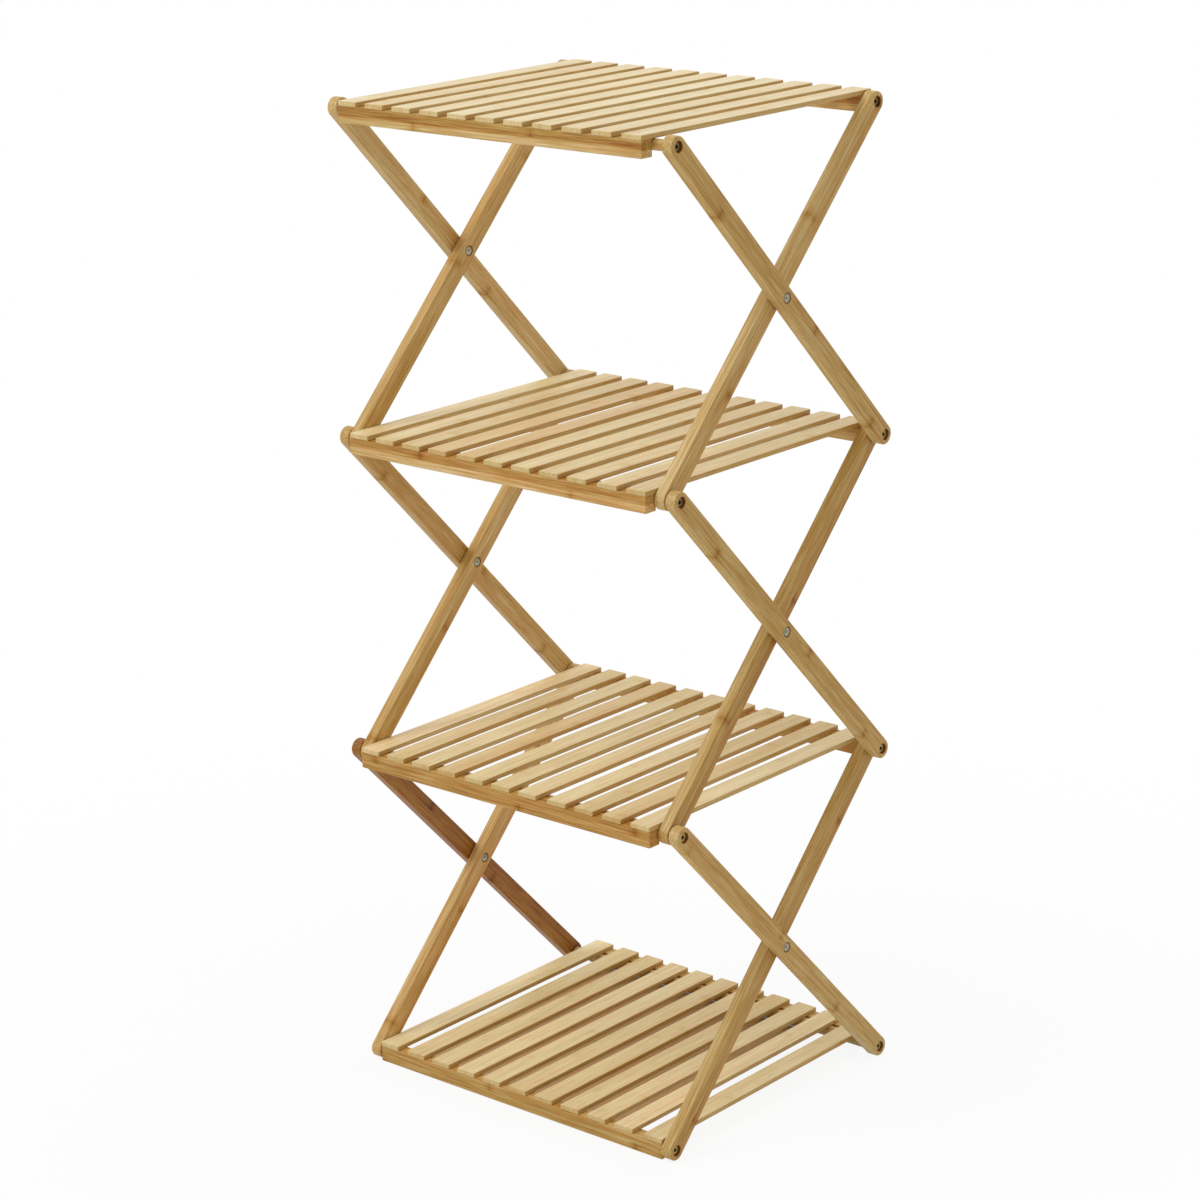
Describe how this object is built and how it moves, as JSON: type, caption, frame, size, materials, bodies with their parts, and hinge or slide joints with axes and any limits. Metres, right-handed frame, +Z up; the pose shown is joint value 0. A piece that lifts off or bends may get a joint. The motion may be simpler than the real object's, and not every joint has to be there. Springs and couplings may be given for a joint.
{
  "type": "folding shelf",
  "caption": "Free-standing folding shelf in laminated bamboo: slatted tiers on stacked pairs of crossing legs that pivot on screws and fold flat.",
  "frame": {"origin": "on the floor, under the middle of the shelf", "axes": "+X along the rails to the right, +Y from the front to the back, +Z up"},
  "size_m": [0.3908, 0.3326, 0.9195],
  "materials": {
    "slats": "satin lacquered bamboo",
    "rails": "satin lacquered bamboo",
    "legs": "satin lacquered bamboo",
    "dowels": "turned bamboo",
    "screws": "dark zinc",
    "pins": "bright nickel"
  },
  "bodies": {
    "bottom_shelf": {"bottom_front_rail": "rails", "bottom_back_rail": "rails", "bottom_slats": "slats", "bottom_front_screws": "screws"},
    "bottom_inner_legs": {"right_bottom_inner_leg": "legs", "left_bottom_inner_leg": "legs", "bottom_crossing_pins": "pins"},
    "bottom_outer_legs": {"right_bottom_outer_leg": "legs", "left_bottom_outer_leg": "legs", "bottom_back_dowel": "dowels", "bottom_back_screws": "screws"},
    "middle_inner_legs": {"right_middle_inner_leg": "legs", "left_middle_inner_leg": "legs", "middle_crossing_pins": "pins", "lower_front_dowel": "dowels", "lower_front_screws": "screws"},
    "middle_outer_legs": {"right_middle_outer_leg": "legs", "left_middle_outer_leg": "legs"},
    "top_inner_legs": {"right_top_inner_leg": "legs", "left_top_inner_leg": "legs", "top_crossing_pins": "pins", "upper_front_dowel": "dowels", "upper_front_screws": "screws"},
    "top_outer_legs": {"right_top_outer_leg": "legs", "left_top_outer_leg": "legs", "top_front_dowel": "dowels", "top_front_screws": "screws"},
    "lower_shelf": {"lower_front_rail": "rails", "lower_back_rail": "rails", "lower_slats": "slats", "lower_back_screws": "screws"},
    "upper_shelf": {"upper_front_rail": "rails", "upper_back_rail": "rails", "upper_slats": "slats", "upper_back_screws": "screws"},
    "top_shelf": {"top_front_rail": "rails", "top_back_rail": "rails", "top_slats": "slats", "top_back_screws": "screws"}
  },
  "joints": [
    {"name": "fold", "type": "hinge", "parent": "bottom_shelf", "child": "bottom_inner_legs", "pos_m": [0, -0.147, 0.0097], "axis": [1, 0, 0], "range_deg": [0, 41]},
    {"name": "bottom_crossing", "type": "hinge", "parent": "bottom_inner_legs", "child": "bottom_outer_legs", "pos_m": [0, 0, 0.1597], "axis": [-1, 0, 0], "range_deg": [0, 82]},
    {"name": "lower_front_pivot", "type": "hinge", "parent": "bottom_outer_legs", "child": "middle_inner_legs", "pos_m": [0, -0.147, 0.3097], "axis": [1, 0, 0], "range_deg": [0, 82]},
    {"name": "middle_crossing", "type": "hinge", "parent": "middle_inner_legs", "child": "middle_outer_legs", "pos_m": [0, 0, 0.4597], "axis": [-1, 0, 0], "range_deg": [0, 82]},
    {"name": "upper_front_pivot", "type": "hinge", "parent": "middle_outer_legs", "child": "top_inner_legs", "pos_m": [0, -0.147, 0.6097], "axis": [1, 0, 0], "range_deg": [0, 82]},
    {"name": "top_crossing", "type": "hinge", "parent": "top_inner_legs", "child": "top_outer_legs", "pos_m": [0, 0, 0.7597], "axis": [-1, 0, 0], "range_deg": [0, 82]},
    {"name": "lower_shelf_lift", "type": "hinge", "parent": "middle_outer_legs", "child": "lower_shelf", "pos_m": [0, 0.147, 0.3097], "axis": [-1, 0, 0], "range_deg": [0, 60]},
    {"name": "upper_shelf_lift", "type": "hinge", "parent": "top_outer_legs", "child": "upper_shelf", "pos_m": [0, 0.147, 0.6097], "axis": [-1, 0, 0], "range_deg": [0, 60]},
    {"name": "top_shelf_lift", "type": "hinge", "parent": "top_inner_legs", "child": "top_shelf", "pos_m": [0, 0.147, 0.9097], "axis": [-1, 0, 0], "range_deg": [0, 131]}
  ],
  "couplings": [
    {"joint": "bottom_crossing", "follows": "fold", "ratio": 2},
    {"joint": "lower_front_pivot", "follows": "fold", "ratio": 2},
    {"joint": "middle_crossing", "follows": "fold", "ratio": 2},
    {"joint": "upper_front_pivot", "follows": "fold", "ratio": 2},
    {"joint": "top_crossing", "follows": "fold", "ratio": 2},
    {"joint": "top_shelf_lift", "follows": "fold", "ratio": 3.195}
  ]
}
